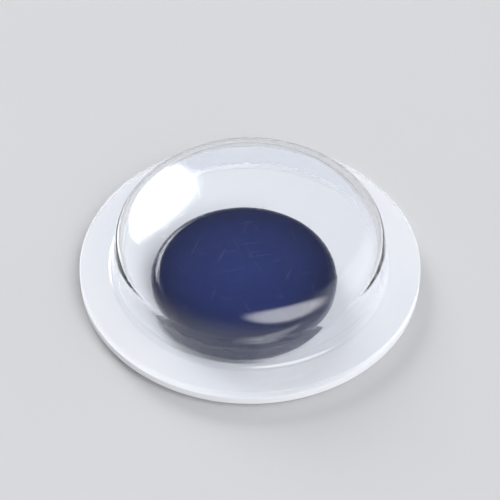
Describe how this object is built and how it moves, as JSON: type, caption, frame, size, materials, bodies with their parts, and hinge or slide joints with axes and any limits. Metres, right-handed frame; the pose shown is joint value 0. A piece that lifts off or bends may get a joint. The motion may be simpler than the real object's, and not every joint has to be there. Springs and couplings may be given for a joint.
{
  "type": "googly eye",
  "caption": "Round stick-on googly eye: a clear plastic dome sealed to a white disc, with a loose dark pupil that moves inside, and adhesive under a paper liner on the back.",
  "frame": {"origin": "centre of the release liner's underside, on the eye's axis, where the eye lies on its back", "axes": "+Z along the eye's axis, out through the dome; the pupil at rest lies towards -Y"},
  "size_m": [0.012, 0.012, 0.0035],
  "materials": {
    "clear_plastic": "clear, glossy thermoformed sheet",
    "pupil_plastic": "blue-black, satin to glossy, moulded",
    "white_plastic": "white, satin sheet",
    "adhesive": "milky, slightly tacky double-sided film",
    "liner_paper": "white, faintly coated release paper"
  },
  "bodies": {
    "case": {"clear_dome": "clear_plastic", "backing_disc": "white_plastic", "adhesive_disc": "adhesive", "release_liner": "liner_paper"},
    "pupil": {"pupil": "pupil_plastic"}
  },
  "joints": [
    {"name": "pupil_orbit", "type": "hinge", "parent": "case", "child": "pupil", "pos_m": [0, 0, 0.00112], "axis": [0, 0, 1], "continuous": true}
  ]
}
